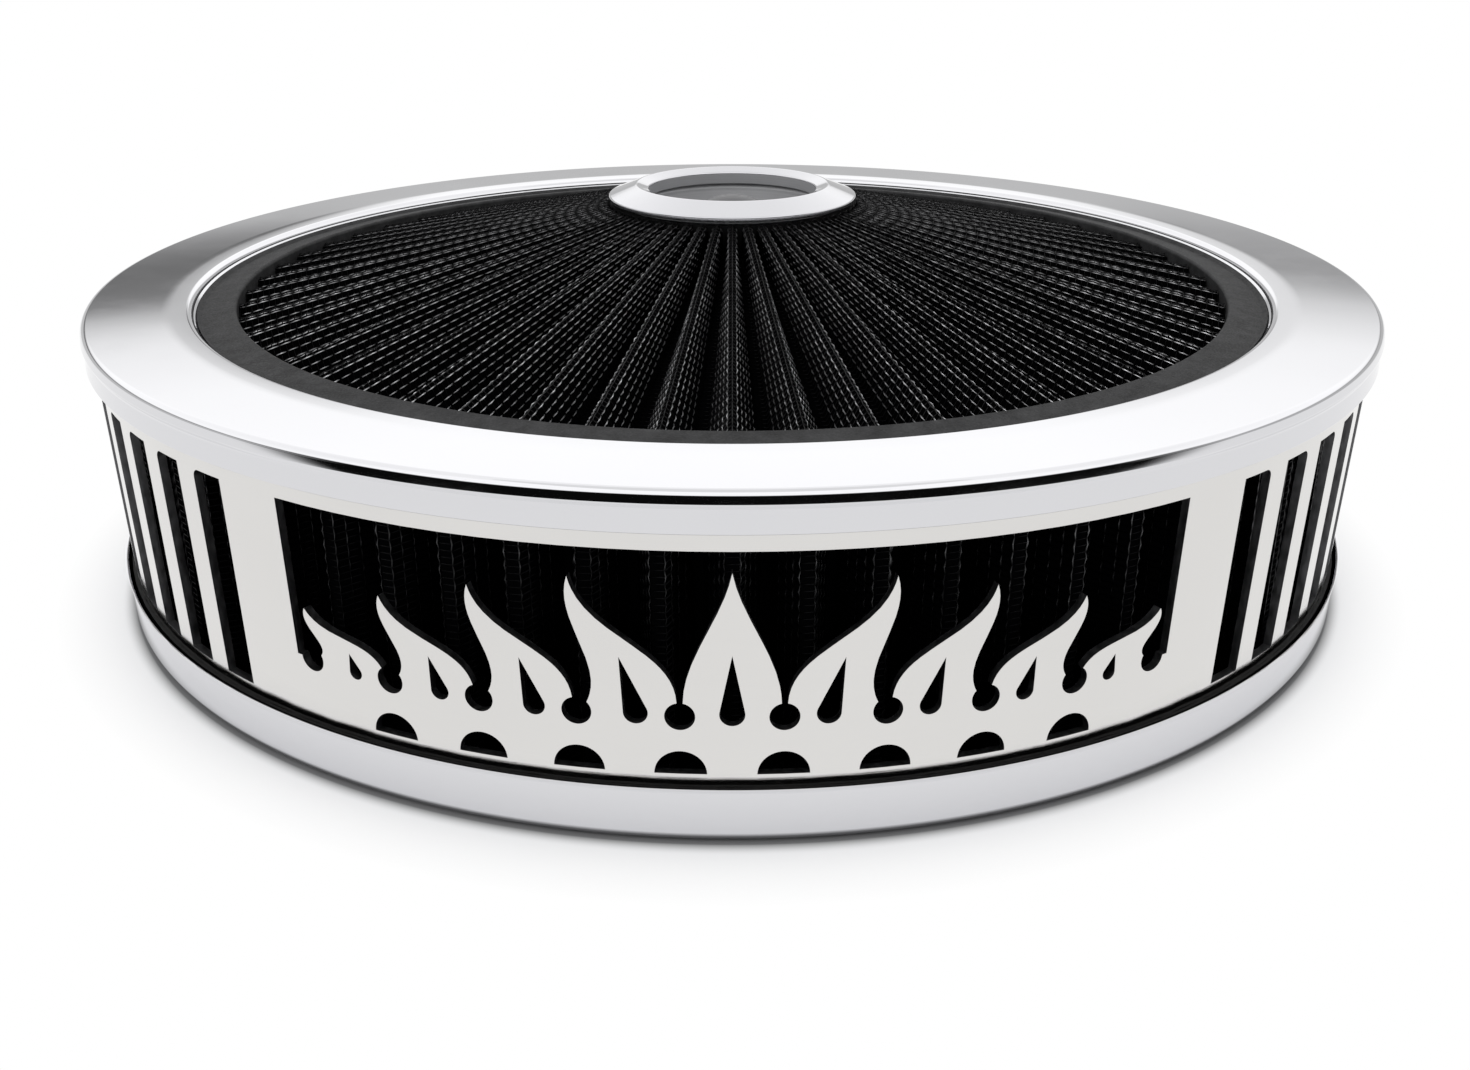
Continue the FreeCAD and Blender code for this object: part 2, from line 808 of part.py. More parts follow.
def wound_wall(flat, half_run):
    """Faces of one sector of the band, from its developed face with all its openings."""
    cones = []
    for thickness in (0, band_thickness):
        cone = Part.Cone()
        cone.Radius = band_radius(0) - thickness
        cone.SemiAngle = math.atan(band_slope)
        cones.append(cone)
    sides = []
    skins = [[], []]
    for wire in flat.Wires:
        edges = wire.OrderedEdges
        loops = [[wound_line(edge, cone) for edge in edges] for cone in cones]
        for cone, skin, loop in zip(cones, skins, loops):
            skin.append(Part.Face(cone, Part.Wire(loop)))
        for edge, outer, inner in zip(edges, *loops):
            run_of_ends = sum(vertex.X for vertex in edge.Vertexes)
            joins_next_sector = abs(abs(run_of_ends) - 2 * half_run) < sew_tolerance
            if not joins_next_sector:
                sides.append(Part.makeRuledSurface(outer, inner))
    faces = [skin[0].cut(skin[1:]).Faces[0] for skin in skins] + sides
    return Part.Compound(faces)


def upright_slot(middle):
    """Flat outline of one slot; its upper corner nearest the front is rounded."""
    half = math.radians(slot_width_angle) * nominal_radius / 2
    low = window_bottom - band_bottom
    high = window_top - band_bottom
    side = -1 if middle < 0 else 1
    near = middle - side * half
    far = middle + side * half
    corner = flat_point(near, high)
    from_side = corner - Vector(0, slot_corner, 0)
    to_top = corner + Vector(side * slot_corner, 0, 0)
    crown = corner + Vector(side, -1, 0) * (slot_corner * (1 - math.sqrt(0.5)))
    edges = [
        Part.makeLine(flat_point(near, low), from_side),
        Part.Arc(from_side, crown, to_top).toShape(),
        Part.makeLine(to_top, flat_point(far, high)),
        Part.makeLine(flat_point(far, high), flat_point(far, low)),
        Part.makeLine(flat_point(far, low), flat_point(near, low)),
    ]
    return Part.Face(Part.Wire(edges))


def shroud_band():
    """Polished band: flame windows at the front and back, slots between them."""
    height = band_top - band_bottom
    bar_angle = (slot_span - slot_count * slot_width_angle) / (slot_count - 1)
    edge_angle = slot_first_angle - bar_angle / 2
    front_run = math.radians(edge_angle) * nominal_radius
    side_run = math.radians(180 / windows - edge_angle) * nominal_radius
    openings = flame_openings()
    for opening in openings:
        opening.translate(Vector(0, window_bottom - band_bottom, 0))
    front = Part.makePlane(2 * front_run, height, flat_point(-front_run, 0)).cut(openings)
    pitch = math.radians(slot_width_angle + bar_angle) * nominal_radius
    slots = [upright_slot((i - (slot_count - 1) / 2) * pitch) for i in range(slot_count)]
    side = Part.makePlane(2 * side_run, height, flat_point(-side_run, 0)).cut(slots)
    front_wall = wound_wall(front.Faces[0], front_run)
    side_wall = wound_wall(side.Faces[0], side_run)
    faces = []
    for i in range(windows):
        to_front = 90 + i * 360 / windows
        faces.extend(turned(front_wall, to_front).Faces)
        faces.extend(turned(side_wall, to_front + 180 / windows).Faces)
    shell = Part.Shell(faces)
    shell.sewShape(sew_tolerance)
    band = Part.Solid(shell)
    if band.Volume < 0:
        band.reverse()
    return band


def build():
    """Write one STEP file for each piece."""
    os.makedirs("parts", exist_ok=True)
    pieces = {
        "base_pan": base_pan(),
        "neck_gasket": neck_gasket(),
        "element_bottom_seal": end_seal(element_bottom, -1),
        "element_pleats": element_pleats(),
        "element_top_seal": end_seal(element_top - seal_height, 1),
        "band_strip": band_strip(),
        "shroud_band": shroud_band(),
        "lid_rim": lid_rim(),
        "lid_ring_seal": lid_ring_seal(),
        "lid_pleats": lid_pleats(),
        "lid_screen": lid_screen(),
        "hub_seal": hub_seal(),
        "hub_cup": hub_cup(),
        "hub_bezel": hub_bezel(),
        "support_spider": support_spider(),
        "center_stud": center_stud(),
        "seal_washer": seal_washer(),
        "nut_washer": nut_washer(),
        "center_nut": center_nut(),
    }
    for name, shape in pieces.items():
        box = shape.BoundBox
        print(
            name, "valid", shape.isValid(), "solids", len(shape.Solids),
            "volume", round(shape.Volume, 1),
            "r", round(box.XMax, 2), "z", round(box.ZMin, 2), round(box.ZMax, 2),
        )
        shape.exportStep("parts/" + name + ".step")


build()
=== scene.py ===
import math

import bmesh
import bpy
from mathutils import Matrix, Vector


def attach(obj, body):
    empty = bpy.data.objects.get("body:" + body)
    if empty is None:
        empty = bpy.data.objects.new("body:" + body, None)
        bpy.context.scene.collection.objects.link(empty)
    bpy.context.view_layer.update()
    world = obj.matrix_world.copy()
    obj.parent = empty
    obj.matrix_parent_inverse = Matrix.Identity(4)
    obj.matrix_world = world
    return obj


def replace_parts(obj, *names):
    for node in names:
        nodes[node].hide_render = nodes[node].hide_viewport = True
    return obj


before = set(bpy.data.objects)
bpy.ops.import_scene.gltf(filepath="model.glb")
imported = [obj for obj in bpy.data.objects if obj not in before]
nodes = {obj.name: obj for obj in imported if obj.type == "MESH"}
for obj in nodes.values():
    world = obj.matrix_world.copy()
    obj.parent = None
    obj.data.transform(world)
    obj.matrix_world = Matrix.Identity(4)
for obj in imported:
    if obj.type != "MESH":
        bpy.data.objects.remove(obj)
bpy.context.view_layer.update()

mm = 0.001
print("frame loaded:", len(nodes), "nodes")


# materials: every pattern sits on Object coordinates; a noise in a look is (scale, detail,
# roughness) and a bump is (strength, distance in metres)

noiseSpan = (0.3, 0.7)


def startMaterial(name):
    material = bpy.data.materials.new(name)
    material.use_nodes = True
    tree = material.node_tree
    return material, tree, tree.nodes["Principled BSDF"]


def objectPlace(tree, scale=(1, 1, 1)):
    coords = tree.nodes.new("ShaderNodeTexCoord")
    mapping = tree.nodes.new("ShaderNodeMapping")
    mapping.inputs["Scale"].default_value = scale
    tree.links.new(coords.outputs["Object"], mapping.inputs["Vector"])
    return mapping.outputs["Vector"]


def addNoise(tree, place, scale, detail, roughness=0.5):
    noise = tree.nodes.new("ShaderNodeTexNoise")
    noise.inputs["Scale"].default_value = scale
    noise.inputs["Detail"].default_value = detail
    noise.inputs["Roughness"].default_value = roughness
    tree.links.new(place, noise.inputs["Vector"])
    return noise.outputs["Fac"]


def addMath(tree, operation, first, second=None):
    node = tree.nodes.new("ShaderNodeMath")
    node.operation = operation
    for socket, value in zip(node.inputs, (first, second)):
        if value is None:
            continue
        if isinstance(value, (int, float)):
            socket.default_value = value
        else:
            tree.links.new(value, socket)
    return node.outputs[0]


def mapRange(tree, value, fromLow, fromHigh, toLow, toHigh, smooth=False):
    node = tree.nodes.new("ShaderNodeMapRange")
    node.interpolation_type = "SMOOTHSTEP" if smooth else "LINEAR"
    for name, number in (
        ("From Min", fromLow), ("From Max", fromHigh), ("To Min", toLow), ("To Max", toHigh),
    ):
        node.inputs[name].default_value = number
    tree.links.new(value, node.inputs["Value"])
    return node.outputs["Result"]


def mixColors(tree, factor, first, second):
    node = tree.nodes.new("ShaderNodeMix")
    node.data_type = "RGBA"
    tree.links.new(factor, node.inputs[0])
    for socket, value in ((node.inputs[6], first), (node.inputs[7], second)):
        if isinstance(value, tuple):
            socket.default_value = (*value, 1)
        else:
            tree.links.new(value, socket)
    return node.outputs[2]


def addBump(tree, shader, height, strength, distance):
    bump = tree.nodes.new("ShaderNodeBump")
    bump.inputs["Strength"].default_value = strength
    bump.inputs["Distance"].default_value = distance
    tree.links.new(height, bump.inputs["Height"])
    tree.links.new(bump.outputs["Normal"], shader.inputs["Normal"])


def addColors(tree, shader, tone, look):
    tree.links.new(mixColors(tree, tone, look["dark"], look["light"]), shader.inputs["Base Color"])


def addRough(tree, shader, pattern, look, span=noiseSpan):
    rough = mapRange(tree, pattern, *span, look["roughLow"], look["roughHigh"])
    tree.links.new(rough, shader.inputs["Roughness"])


def turnedPlace(tree):
    # radius and height only, so that a pattern runs round the axis like lathe marks
    coords = tree.nodes.new("ShaderNodeTexCoord")
    parts = tree.nodes.new("ShaderNodeSeparateXYZ")
    tree.links.new(coords.outputs["Object"], parts.inputs[0])
    across = addMath(tree, "POWER", parts.outputs["X"], 2)
    along = addMath(tree, "POWER", parts.outputs["Y"], 2)
    radius = addMath(tree, "SQRT", addMath(tree, "ADD", across, along))
    joined = tree.nodes.new("ShaderNodeCombineXYZ")
    tree.links.new(radius, joined.inputs["X"])
    tree.links.new(parts.outputs["Z"], joined.inputs["Z"])
    return joined.outputs[0]


def dress(names, material):
    for name in names:
        mesh = nodes[name].data
        mesh.materials.clear()
        mesh.materials.append(material)


chromeLook = {
    "color": (0.69, 0.69, 0.71), "roughLow": 0.03, "roughHigh": 0.07,
    "smears": (55, 5, 0.6), "smearSpan": (0.35, 0.7), "waves": (30, 1), "bump": (0.2, 0.00004),
}
bezelLook = {
    "color": (0.60, 0.60, 0.62), "roughLow": 0.05, "roughHigh": 0.09,
    "smears": (55, 5, 0.6), "smearSpan": (0.35, 0.7), "waves": (60, 1), "bump": (0.2, 0.00002),
}


def chromeMaterial(name, look):
    material, tree, shader = startMaterial(name)
    place = objectPlace(tree)
    shader.inputs["Base Color"].default_value = (*look["color"], 1)
    shader.inputs["Metallic"].default_value = 1
    addRough(tree, shader, addNoise(tree, place, *look["smears"]), look, look["smearSpan"])
    addBump(tree, shader, addNoise(tree, place, *look["waves"]), *look["bump"])
    return material


bandLook = {
    "light": (0.725, 0.715, 0.70), "dark": (0.69, 0.68, 0.665), "roughLow": 0.10, "roughHigh": 0.16,
    "drawn": (60, 6, 0.6), "drawnScale": (1, 1, 26), "clouds": (22, 3), "bump": (0.12, 0.00005),
}


def bandMaterial():
    look = bandLook
    material, tree, shader = startMaterial("polishedBand")
    shader.inputs["Metallic"].default_value = 1
    drawn = addNoise(tree, objectPlace(tree, look["drawnScale"]), *look["drawn"])
    addColors(tree, shader, addNoise(tree, objectPlace(tree), *look["clouds"]), look)
    addRough(tree, shader, drawn, look)
    addBump(tree, shader, drawn, *look["bump"])
    return material


cutLook = {
    "light": (0.30, 0.30, 0.31), "dark": (0.16, 0.16, 0.165), "roughLow": 0.3, "roughHigh": 0.45,
    "drag": (900, 3), "dragScale": (1, 1, 0.4), "bump": (0.25, 0.00004),
}


def cutEdgeMaterial():
    # the band's cut faces, left dull by the cutter
    look = cutLook
    material, tree, shader = startMaterial("bandCutEdge")
    shader.inputs["Metallic"].default_value = 1
    drag = addNoise(tree, objectPlace(tree, look["dragScale"]), *look["drag"])
    addColors(tree, shader, drag, look)
    addRough(tree, shader, drag, look)
    addBump(tree, shader, drag, *look["bump"])
    return material


satinLook = {
    "light": (0.42, 0.42, 0.43), "dark": (0.33, 0.33, 0.34), "roughLow": 0.30, "roughHigh": 0.42,
    "metal": 0.3, "latheMarks": (2600, 3), "bump": (0.25, 0.00004),
}
nutLook = {
    "light": (0.10, 0.10, 0.105), "dark": (0.07, 0.07, 0.072), "roughLow": 0.34, "roughHigh": 0.46,
    "metal": 0.6, "latheMarks": (2600, 3), "bump": (0.25, 0.00004),
}


def satinMaterial(name, look):
    material, tree, shader = startMaterial(name)
    shader.inputs["Metallic"].default_value = look["metal"]
    latheMarks = addNoise(tree, turnedPlace(tree), *look["latheMarks"])
    addColors(tree, shader, latheMarks, look)
    addRough(tree, shader, latheMarks, look)
    addBump(tree, shader, latheMarks, *look["bump"])
    return material


# looks whose one pattern sets the colour, the roughness and the bump
zincLook = {
    "light": (0.58, 0.58, 0.56), "dark": (0.44, 0.45, 0.45), "roughLow": 0.28, "roughHigh": 0.45,
    "metal": 1, "specular": 0.5, "pattern": (420, 4, 0.6), "bump": (0.2, 0.00003),
}
mediaLook = {
    "light": (0.0016, 0.0016, 0.0018), "dark": (0.0004, 0.0004, 0.0005),
    "roughLow": 0.85, "roughHigh": 1.0,
    "metal": 0, "specular": 0, "pattern": (1500, 6, 0.7), "bump": (0.6, 0.0003),
}
pressingLook = {
    "light": (0.020, 0.020, 0.022), "dark": (0.012, 0.012, 0.013),
    "roughLow": 0.3, "roughHigh": 0.45,
    "metal": 0, "specular": 0.5, "pattern": (700, 2), "bump": (0.15, 0.00008),
}
gasketLook = {
    "light": (0.060, 0.058, 0.055), "dark": (0.028, 0.027, 0.026),
    "roughLow": 0.8, "roughHigh": 0.95,
    "metal": 0, "specular": 0.5, "pattern": (1100, 6, 0.75), "bump": (0.5, 0.0002),
}


def plainMaterial(name, look):
    material, tree, shader = startMaterial(name)
    shader.inputs["Metallic"].default_value = look["metal"]
    shader.inputs["Specular IOR Level"].default_value = look["specular"]
    pattern = addNoise(tree, objectPlace(tree), *look["pattern"])
    addColors(tree, shader, pattern, look)
    addRough(tree, shader, pattern, look)
    addBump(tree, shader, pattern, *look["bump"])
    return material


ringLook = {
    "light": (0.030, 0.030, 0.031), "dark": (0.013, 0.013, 0.0135),
    "roughLow": 0.55, "roughHigh": 0.75,
    "blotches": (240, 5, 0.65), "blotchSpan": (0.35, 0.68), "grain": (2200, 2), "grainShare": 0.4,
    "specular": 0.16, "bump": (0.5, 0.0003),
}


def ringRubberMaterial():
    look = ringLook
    material, tree, shader = startMaterial("ringRubber")
    place = objectPlace(tree)
    blotches = addNoise(tree, place, *look["blotches"])
    grain = addNoise(tree, place, *look["grain"])
    addColors(tree, shader, mapRange(tree, blotches, *look["blotchSpan"], 0, 1), look)
    addRough(tree, shader, grain, look)
    shader.inputs["Specular IOR Level"].default_value = look["specular"]
    height = addMath(tree, "ADD", blotches, addMath(tree, "MULTIPLY", grain, look["grainShare"]))
    addBump(tree, shader, height, *look["bump"])
    return material


blackLook = {
    "light": (0.004, 0.004, 0.0042), "dark": (0.002, 0.002, 0.0021),
    "roughLow": 0.42, "roughHigh": 0.62,
    "clouds": (160, 4), "grain": (3000, 2), "specular": 0.08, "bump": (0.3, 0.0001),
}


def blackRubberMaterial():
    look = blackLook
    material, tree, shader = startMaterial("blackRubber")
    place = objectPlace(tree)
    grain = addNoise(tree, place, *look["grain"])
    addColors(tree, shader, addNoise(tree, place, *look["clouds"]), look)
    addRough(tree, shader, grain, look)
    shader.inputs["Specular IOR Level"].default_value = look["specular"]
    addBump(tree, shader, grain, *look["bump"])
    return material


wireLook = {
    "paintedGlint": (0.90, 0.90, 0.92), "coat": (0.004, 0.004, 0.0045), "roughLow": 0.28, "roughHigh": 0.45,
    "patches": (260, 4, 0.6), "patchSpan": (0.3, 0.65), "patchGlint": (0.35, 1.15),
    "frontLightSpan": (0.05, -0.09), "frontLightGlint": (0.25, 1.2),
}


def wireMaterial():
    # black coat with a painted glint where the weave stands up, scaled by random patches and made
    # stronger towards the front as painted light; the wire meshes carry the painted glint as a
    # vertex attribute
    look = wireLook
    material, tree, shader = startMaterial("blackWire")
    shader.inputs["Metallic"].default_value = 1
    paintedGlint = tree.nodes.new("ShaderNodeAttribute")
    paintedGlint.attribute_name = "paintedGlint"
    place = objectPlace(tree)
    patches = addNoise(tree, place, *look["patches"])
    parts = tree.nodes.new("ShaderNodeSeparateXYZ")
    tree.links.new(place, parts.inputs[0])
    # painted light: the glint grows towards the front (lower Y), from a quarter at the back to more
    # than full
    frontLit = mapRange(tree, parts.outputs["Y"], *look["frontLightSpan"], *look["frontLightGlint"], True)
    patchy = mapRange(tree, patches, *look["patchSpan"], *look["patchGlint"])
    glintScale = addMath(tree, "MULTIPLY", frontLit, patchy)
    share = addMath(tree, "MULTIPLY", paintedGlint.outputs["Fac"], glintScale)
    tree.links.new(mixColors(tree, share, look["coat"], look["paintedGlint"]), shader.inputs["Base Color"])
    addRough(tree, shader, patches, look)
    return material


chrome = chromeMaterial("polishedChrome", chromeLook)
bezelChrome = chromeMaterial("bezelChrome", bezelLook)
bandPolish = bandMaterial()
bandCut = cutEdgeMaterial()
satinSteel = satinMaterial("satinSteel", satinLook)
nutSteel = satinMaterial("nutSteel", nutLook)
zincSteel = plainMaterial("zincSteel", zincLook)
ringRubber = ringRubberMaterial()
blackRubber = blackRubberMaterial()
filterMedia = plainMaterial("filterMedia", mediaLook)
blackWire = wireMaterial()
blackPressing = plainMaterial("blackPressing", pressingLook)
gasketFibre = plainMaterial("gasketFibre", gasketLook)

dress(["base_pan", "lid_rim", "hub_bezel"], chrome)
dress(["shroud_band"], bandPolish)
dress(["hub_cup"], satinSteel)
dress(["center_nut"], nutSteel)
dress(["center_stud", "nut_washer"], zincSteel)
dress(["lid_ring_seal"], ringRubber)
dress(
    ["element_bottom_seal", "element_top_seal", "band_strip", "hub_seal", "seal_washer"],
    blackRubber,
)
dress(["element_pleats", "lid_pleats"], filterMedia)
dress(["lid_screen"], blackWire)
dress(["support_spider"], blackPressing)
dress(["neck_gasket"], gasketFibre)
print("materials made and put on the nodes")


# mesh helpers

def finishPiece(bm, name, material, body, sharpAngle=None):
    bmesh.ops.recalc_face_normals(bm, faces=bm.faces[:])
    mesh = bpy.data.meshes.new(name)
    bm.to_mesh(mesh)
    bm.free()
    for face in mesh.polygons:
        face.use_smooth = True
    mesh.materials.append(material)
    piece = bpy.data.objects.new(name, mesh)
    bpy.context.scene.collection.objects.link(piece)
    if sharpAngle:
        mesh.set_sharp_from_angle(angle=math.radians(sharpAngle))
        weighted = piece.modifiers.new("flatFaces", "WEIGHTED_NORMAL")
        weighted.keep_sharp = True
        weighted.weight = 100
    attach(piece, body)
    return piece


bendSteps = {"least": 3, "degrees": 9}


def roundedLine(corners):
    # a closed section; corners are (radius, height, bend) and each bend becomes a small arc
    places = [Vector((r, z)) for r, z, bend in corners]
    count = len(corners)
    line = []
    for i in range(count):
        bend = corners[i][2]
        if bend == 0:
            line.append(places[i])
            continue
        back = (places[i - 1] - places[i]).normalized()
        ahead = (places[(i + 1) % count] - places[i]).normalized()
        half = back.angle(ahead) / 2
        centre = places[i] + (back + ahead).normalized() * (bend / math.sin(half))
        start = places[i] + back * (bend / math.tan(half)) - centre
        swing = math.pi - 2 * half
        turn = 1 if start.x * ahead.y - start.y * ahead.x > 0 else -1
        steps = max(bendSteps["least"], round(math.degrees(swing) / bendSteps["degrees"]))
        for k in range(steps + 1):
            angle = turn * swing * k / steps
            line.append(centre + Vector((
                start.x * math.cos(angle) - start.y * math.sin(angle),
                start.x * math.sin(angle) + start.y * math.cos(angle),
            )))
    return line


def sheetSection(corners, thickness, edge):
    # both faces of a sheet whose other face lies to the right of the line, its ends rounded
    places = [Vector((r, z)) for r, z, bend in corners]
    alongs = [(b - a).normalized() for a, b in zip(places, places[1:])]
    sides = [Vector((along.y, -along.x)) * thickness for along in alongs]
    other = [(*(places[0] + sides[0]), edge)]
    for i in range(1, len(corners) - 1):
        u, v = alongs[i - 1], alongs[i]
        cross = u.x * v.y - u.y * v.x
        gap = sides[i] - sides[i - 1]
        moved = places[i] + sides[i - 1] + u * ((gap.x * v.y - gap.y * v.x) / cross)
        bend = corners[i][2] + (thickness if cross > 0 else -thickness)
        other.append((*moved, max(bend, 0)))
    other.append((*(places[-1] + sides[-1]), edge))
    line = [(*places[0], edge)] + list(corners[1:-1]) + [(*places[-1], edge)]
    return roundedLine(line + other[::-1])


def spinSection(section, steps):
    bm = bmesh.new()
    verts = [bm.verts.new((place.x * mm, 0, place.y * mm)) for place in section]
    edges = [bm.edges.new(pair) for pair in zip(verts, verts[1:] + verts[:1])]
    bmesh.ops.spin(
        bm, geom=verts + edges, cent=(0, 0, 0), axis=(0, 0, 1),
        angle=2 * math.pi, steps=steps, use_merge=True,
    )
    return bm


wireSides = 3


def addWire(bm, path, radius, paintedGlint):
    # one thin wire: a small disc drawn along its path
    # each ring of the wire keeps its painted glint level as a vertex attribute
    layer = bm.verts.layers.float["paintedGlint"]
    places = []
    for i, point in enumerate(path):
        ahead = path[min(i + 1, len(path) - 1)] - path[max(i - 1, 0)]
        facing = ahead.to_track_quat("Z", "Y").to_matrix().to_4x4()
        places.append(Matrix.Translation(point) @ facing)
    disc = bmesh.ops.create_circle(
        bm, cap_ends=True, segments=wireSides, radius=radius, matrix=places[0],
    )
    for vert in disc["verts"]:
        vert[layer] = paintedGlint[0]
    end = disc["verts"][0].link_faces[0]
    for i in range(1, len(places)):
        grown = bmesh.ops.extrude_face_region(bm, geom=[end])
        end = [part for part in grown["geom"] if isinstance(part, bmesh.types.BMFace)][0]
        bmesh.ops.transform(bm, verts=end.verts[:], matrix=places[i] @ places[i - 1].inverted())
        for vert in end.verts:
            vert[layer] = paintedGlint[i]


def startWires():
    bm = bmesh.new()
    bm.verts.layers.float.new("paintedGlint")
    return bm


def finishWires(bm, count, name, body):
    # copies of one pleat's wires, evenly round the axis
    bmesh.ops.spin(
        bm, geom=bm.verts[:] + bm.edges[:] + bm.faces[:], cent=(0, 0, 0), axis=(0, 0, 1),
        angle=2 * math.pi * (count - 1) / count, steps=count - 1, use_duplicate=True,
    )
    bmesh.ops.scale(bm, vec=(mm, mm, mm), verts=bm.verts[:])
    return finishPiece(bm, name, blackWire, body)


# spun pressings and the moulded ring: finer than the CAD facets, so that the polish reflects
# cleanly; sections are (radius, height, bend) in millimetres

spunSharpAngle = 40

lidRim = {
    "section": (
        (143.5, 74.0, 0), (150, 74.0, 1.2), (150, 78.92, 1.8), (156.5, 79.2, 60),
        (177.3, 79.2, 1.6), (177.8, 76.3, 0.5), (176.95, 74.9, 1.6), (177.5, 70.2, 0),
    ),
    "sheet": 1.0, "edge": 0.3, "steps": 384,
}
basePan = {
    "section": (
        (176.6, 13.5, 0), (175.2, 0, 3.0), (118, 0, 5.0),
        (109, 22, 5.0), (66.3, 22, 1.2), (66.3, 13.5, 0),
    ),
    "sheet": 1.0, "edge": 0.45, "steps": 384,
}
hubBezel = {
    "section": (
        (23.9, 98.8, 0), (23.9, 102.2, 0.6), (27.4, 103.5, 1.7), (35.3, 100.5, 0.5),
        (35.3, 99.2, 0),
    ),
    "sheet": 1.0, "edge": 0.3, "steps": 192, "collarTop": 101.4, "collarRadius": 24.5,
}
hubCup = {
    "section": ((32.5, 98.2, 0), (26.1, 98.2, 1.6), (26.1, 76.7, 3.0), (3.575, 76.7, 0)),
    "sheet": 1.0, "edge": 0.2, "steps": 144,
}
# the ring's inner lip laps over the ends of the pleats
lidRing = {
    "section": (
        (149.2, 74.0, 1.2), (149.2, 77.9, 0.9), (139.0, 77.5, 0.9), (139.0, 73.0, 0.3),
        (142.0, 72.0, 0), (142.0, 62.9, 0), (143.35, 62.9, 0), (143.35, 74.0, 0),
    ),
    "steps": 288,
}


def spinSheet(look, name, material, body, node):
    bm = spinSection(sheetSection(look["section"], look["sheet"], look["edge"]), look["steps"])
    piece = finishPiece(bm, name, material, body, spunSharpAngle)
    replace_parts(piece, node)
    return piece


spinSheet(lidRim, "lidRim", chrome, "lid", "lid_rim")
spinSheet(basePan, "basePan", chrome, "root", "base_pan")
bezel = spinSheet(hubBezel, "hubBezel", bezelChrome, "lid", "hub_bezel")
# the collar that reaches into the cup is satin like the cup
bezel.data.materials.append(satinSteel)
collarTop = hubBezel["collarTop"] * mm
collarRadius = hubBezel["collarRadius"] * mm
for face in bezel.data.polygons:
    if face.center.z < collarTop and face.center.xy.length < collarRadius:
        face.material_index = 1
spinSheet(hubCup, "hubCup", satinSteel, "lid", "hub_cup")
ringBm = spinSection(roundedLine(lidRing["section"]), lidRing["steps"])
ring = finishPiece(ringBm, "lidRing", ringRubber, "lid", spunSharpAngle)
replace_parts(ring, "lid_ring_seal")
print("pressings and ring spun")


# the cut-out band, from its own mesh, with dull cut faces and a broken edge

bandTrim = {
    "merge": 0.000002, "outwardShare": 0.8, "flatAngle": 0.4,
    "sharpAngle": 35, "edge": 0.00016, "edgeSegments": 2, "smoothAngle": 50,
}


def trimBand():
    look = bandTrim
    source = nodes["shroud_band"]
    bm = bmesh.new()
    bm.from_mesh(source.data)
    bmesh.ops.transform(bm, matrix=source.matrix_world, verts=bm.verts[:])
    bmesh.ops.remove_doubles(bm, verts=bm.verts[:], dist=look["merge"])
    bmesh.ops.recalc_face_normals(bm, faces=bm.faces[:])
    for face in bm.faces:
        middle = face.calc_center_median()
        outward = Vector((middle.x, middle.y, 0)).normalized()
        polished = abs(face.normal.dot(outward)) > look["outwardShare"]
        face.material_index = 0 if polished else 1
    bmesh.ops.dissolve_limit(
        bm, angle_limit=math.radians(look["flatAngle"]), verts=bm.verts[:], edges=bm.edges[:],
        delimit={"MATERIAL"},
    )
    sharpAngle = math.radians(look["sharpAngle"])
    sharp = [edge for edge in bm.edges if edge.calc_face_angle(0) > sharpAngle]
    bmesh.ops.bevel(
        bm, geom=sharp, offset=look["edge"], offset_type="OFFSET", affect="EDGES",
        segments=look["edgeSegments"], profile=0.5, clamp_overlap=True, material=0,
    )
    piece = finishPiece(
        bm, "shroudBand", bandPolish, "root", look["smoothAngle"])
    piece.data.materials.append(bandCut)
    return piece


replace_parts(trimBand(), "shroud_band")
print("band trimmed")


# wire screen over the lid's pleats

lidScreen = {
    "pleats": 56,
    "hubRadius": 35.3, "rimRadius": 138.7,
    "hubCrest": 98.9, "rimCrest": 76.13,
    "crestRise": 0.9, "crestHalf": 1.374,
    "hubDepth": 5.6, "rimDepth": 9.86,
    "hubRootHalf": 0.39, "rimRootHalf": 1.08,
    "sink": 0.38, "weave": 0.17, "meshPitch": 1.6,
    # painted glint levels: per row, less for rows lower down the flank as painted shade towards the
    # valley; along the crest line and the hoops; and the share kept at the hub
    "rows": (0.001, 0.2, 0.4, 0.6, 0.8), "rowGlint": (1.0, 0.85, 0.7, 0.5, 0.35),
    "hoopRuns": (1, 0.02),
    "crestGlint": 0.03, "hoopGlint": 0.02, "hubGlint": 0.4,
    "wireRadius": 0.17, "hoopRadius": 0.13,
}


def lidPleatPoint(share, run):
    # a point of one pleat's surface: share runs from 0 at the hub to 1 at the rim, run from
    # -1 in one valley to 1 in the next
    look = lidScreen
    radius = look["hubRadius"] + share * (look["rimRadius"] - look["hubRadius"])
    crest = look["hubCrest"] + share * (look["rimCrest"] - look["hubCrest"])
    depth = look["hubDepth"] + share * (look["rimDepth"] - look["hubDepth"])
    rootHalf = look["hubRootHalf"] + share * (look["rimRootHalf"] - look["hubRootHalf"])
    root = radius * math.tan(math.pi / look["pleats"]) - rootHalf
    side = 1 if run >= 0 else -1
    flank = abs(run)
    y = look["crestHalf"] + flank * (root - look["crestHalf"])
    z = crest - look["crestRise"] - flank * (depth - look["crestRise"])
    normal = Vector((0, depth - look["crestRise"], root - look["crestHalf"])).normalized()
    return Vector((radius, side * y, z)), Vector((0, side * normal.y, normal.z))


def lidSteps():
    return round((lidScreen["rimRadius"] - lidScreen["hubRadius"]) / lidScreen["meshPitch"])


